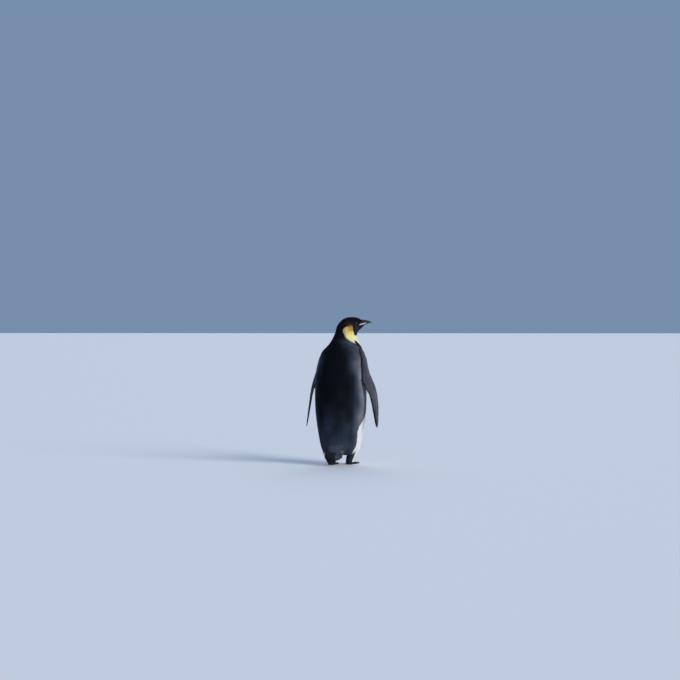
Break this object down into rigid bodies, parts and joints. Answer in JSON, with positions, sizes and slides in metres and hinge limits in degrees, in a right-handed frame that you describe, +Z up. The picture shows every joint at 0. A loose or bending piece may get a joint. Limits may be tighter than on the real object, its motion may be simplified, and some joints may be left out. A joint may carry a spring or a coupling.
{
  "type": "emperor penguin",
  "caption": "Still, life-size emperor penguin that stands upright, with its flippers held a little out and its head turned to its right side.",
  "frame": {"origin": "on the floor under the middle of the whole bird's box", "axes": "+Z up; the trunk faces -Y, so the bird's left side is +X; the head is turned so that the bill points mostly to -X"},
  "size_m": [0.5422, 0.3648, 1.0481],
  "materials": {
    "plumage_black": "glossy black scale feathers",
    "plumage_slate": "slate blue-grey scale feathers with dark shafts",
    "plumage_white": "silky white scale feathers",
    "horn_black": "satin black horn",
    "horn_pink": "smooth pinkish-lilac horn plate",
    "foot_skin": "black scaly skin",
    "eye": "dark brown iris under a wet clear surface"
  },
  "bodies": {
    "root": {"trunk": "plumage_slate", "neck": "plumage_black", "head": "plumage_black", "bill_upper": "horn_black", "bill_lower": "horn_black", "bill_plate_left": "horn_pink", "bill_plate_right": "horn_pink", "eye_left": "eye", "eye_right": "eye", "flipper_left": "plumage_slate", "flipper_right": "plumage_slate", "tail": "plumage_black", "leg_left": "plumage_white", "leg_right": "plumage_white", "foot_left": "foot_skin", "foot_right": "foot_skin", "claw_left_inner": "horn_black", "claw_left_middle": "horn_black", "claw_left_outer": "horn_black", "claw_left_hind": "horn_black", "claw_right_inner": "horn_black", "claw_right_middle": "horn_black", "claw_right_outer": "horn_black", "claw_right_hind": "horn_black"}
  },
  "joints": []
}
